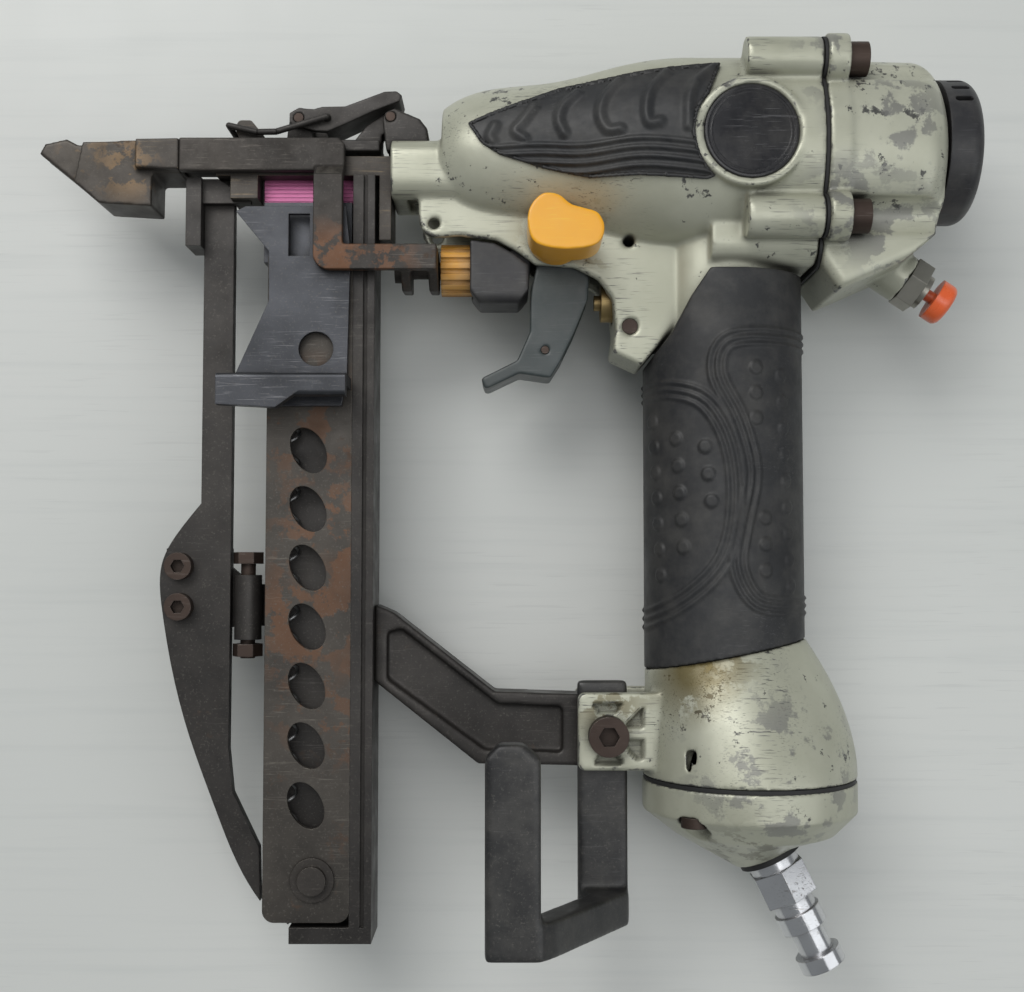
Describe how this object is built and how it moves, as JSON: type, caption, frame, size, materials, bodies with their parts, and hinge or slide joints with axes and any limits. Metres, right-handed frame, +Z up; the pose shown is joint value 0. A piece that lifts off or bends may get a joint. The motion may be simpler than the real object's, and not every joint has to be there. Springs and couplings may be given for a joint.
{
  "type": "pneumatic nail gun",
  "caption": "Compressed-air fastener driver lying on its side: cast body with rubber grip, side-fed magazine, contact shoe, trigger, belt hook and air inlet plug.",
  "frame": {"origin": "centre of the footprint, on the table the tool lies on", "axes": "+X along the driving axis from the nose to the exhaust cover, +Y from the air plug to the head's top, +Z up out of the near flank"},
  "size_m": [0.242, 0.2364, 0.0685],
  "materials": {
    "silver_paint": "chipped champagne-silver paint over cast alloy",
    "black_rubber": "matt, dusty",
    "seal_rubber": "matt",
    "black_plastic": "satin",
    "badge_black": "glossy, scratched",
    "black_steel": "oxidised, oily, rust patches",
    "rusty_steel": "oxidised with rust",
    "blued_steel": "blued sheet steel",
    "coated_steel": "black dip coating, worn",
    "screw_steel": "browned",
    "bright_steel": "turned",
    "chrome": "polished, worn",
    "aluminium": "turned",
    "brass": "turned",
    "valve_plastic": "moulded",
    "yellow_plastic": "moulded, dusty",
    "orange_plastic": "moulded",
    "trigger_plastic": "dark green-grey, worn edges",
    "arm_steel": "pressed",
    "spring_steel": "drawn wire",
    "staple_wire": "coloured lacquer on wire"
  },
  "bodies": {
    "body": {"housing": "silver_paint", "handle": "silver_paint", "head_gasket": "seal_rubber", "head_cap": "silver_paint", "cap_screws": "screw_steel", "cylinder_liner": "bright_steel", "liner_seal": "seal_rubber", "bumper": "seal_rubber", "head_valve_spring": "spring_steel", "duster_body": "bright_steel", "end_gasket": "seal_rubber", "end_cap": "silver_paint", "end_screws": "screw_steel", "air_plug": "chrome", "plug_seal": "seal_rubber", "grip_sleeve": "black_rubber", "side_pads": "black_rubber", "badges": "badge_black", "valve_bushing": "brass", "guide_pin": "screw_steel", "nose_base": "black_steel", "hinge_block": "black_steel", "front_cover": "black_plastic", "lever_spring": "spring_steel", "magazine_rail": "black_steel", "magazine_core": "black_steel", "magazine_cover_near": "black_steel", "magazine_cover_far": "black_steel", "magazine_rivet": "rusty_steel", "staples": "staple_wire", "pusher_spring": "spring_steel", "guard_plate": "black_steel", "guard_top_bracket": "black_steel", "guard_bracket": "black_steel", "guard_fasteners": "screw_steel", "magazine_arm": "black_steel", "belt_hook": "coated_steel", "arm_bolt": "screw_steel", "exhaust_screw": "screw_steel"},
    "driver": {"piston": "aluminium", "piston_seal": "seal_rubber", "driver_blade": "bright_steel"},
    "head_valve": {"head_valve": "valve_plastic"},
    "exhaust_cover": {"exhaust_cover": "black_plastic"},
    "duster_button": {"duster_button": "orange_plastic"},
    "contact_lever": {"contact_shoe": "black_steel", "push_lever": "rusty_steel", "adjuster_rod": "rusty_steel"},
    "adjuster_dial": {"adjuster_dial": "yellow_plastic"},
    "trigger": {"trigger": "trigger_plastic", "trigger_arm_pin": "screw_steel"},
    "trigger_arm": {"trigger_arm": "arm_steel"},
    "valve_plunger": {"valve_plunger": "brass"},
    "mode_knob": {"mode_knob": "yellow_plastic"},
    "pusher": {"pusher_block": "blued_steel", "pusher_plate": "blued_steel"},
    "nose_cover": {"nose_cover": "black_steel", "cover_pins": "screw_steel"},
    "latch_lever": {"latch_lever": "black_steel"},
    "latch_bail": {"latch_bail": "black_steel"}
  },
  "joints": [
    {"name": "driver_stroke", "type": "slide", "parent": "body", "child": "driver", "axis": [-1, 0, 0], "range_m": [0, 0.076]},
    {"name": "head_valve_lift", "type": "slide", "parent": "body", "child": "head_valve", "axis": [1, 0, 0], "range_m": [0, 0.003], "stiffness_N_per_m": 900, "springref_m": -0.006, "deforming": ["head_valve_spring"]},
    {"name": "exhaust_turn", "type": "hinge", "parent": "body", "child": "exhaust_cover", "pos_m": [0.116, 0.0942, 0.02748], "axis": [1, 0, 0], "continuous": true},
    {"name": "duster_press", "type": "slide", "parent": "body", "child": "duster_button", "axis": [-0.832, 0.5548, 0], "range_m": [0, 0.0022], "stiffness_N_per_m": 1500, "springref_m": -0.002},
    {"name": "contact_travel", "type": "slide", "parent": "body", "child": "contact_lever", "axis": [1, 0, 0], "range_m": [0, 0.008], "stiffness_N_per_m": 700, "springref_m": -0.012, "deforming": ["lever_spring"]},
    {"name": "adjuster_turn", "type": "hinge", "parent": "contact_lever", "child": "adjuster_dial", "pos_m": [-0.0118, 0.0631, 0.02748], "axis": [1, 0, 0], "continuous": true},
    {"name": "trigger_pull", "type": "hinge", "parent": "body", "child": "trigger", "pos_m": [0.0132, 0.0697, 0.02748], "axis": [0, 0, 1], "range_deg": [0, 10], "stiffness_Nm_per_rad": 0.9, "springref_deg": -14.32},
    {"name": "trigger_arm_tilt", "type": "hinge", "parent": "trigger", "child": "trigger_arm", "pos_m": [0.0105, 0.0413, 0.02748], "axis": [0, 0, 1], "range_deg": [-5, 3], "stiffness_Nm_per_rad": 0.02},
    {"name": "valve_stroke", "type": "slide", "parent": "body", "child": "valve_plunger", "axis": [1, 0, 0], "range_m": [0, 0.0027]},
    {"name": "mode_turn", "type": "hinge", "parent": "body", "child": "mode_knob", "pos_m": [0.0132, 0.0697, 0.02748], "axis": [0, 0, 1], "range_deg": [-90, 0]},
    {"name": "pusher_slide", "type": "slide", "parent": "body", "child": "pusher", "axis": [0, -1, 0], "range_m": [0, 0.11], "stiffness_N_per_m": 40, "springref_m": -0.2, "deforming": ["pusher_spring"]},
    {"name": "cover_open", "type": "hinge", "parent": "body", "child": "nose_cover", "pos_m": [-0.0295, 0.1022, 0.02748], "axis": [0, 0, -1], "range_deg": [0, 40]},
    {"name": "latch_open", "type": "hinge", "parent": "nose_cover", "child": "latch_lever", "pos_m": [-0.0534, 0.1021, 0.02748], "axis": [0, 0, 1], "range_deg": [0, 110]},
    {"name": "bail_turn", "type": "hinge", "parent": "latch_lever", "child": "latch_bail", "pos_m": [-0.046, 0.102, 0.02748], "axis": [0, 0, 1], "range_deg": [-110, 0]}
  ],
  "couplings": [
    {"joint": "valve_stroke", "follows": "trigger_pull", "m_per_rad": 0.0152},
    {"joint": "bail_turn", "follows": "latch_open", "ratio": -1}
  ]
}
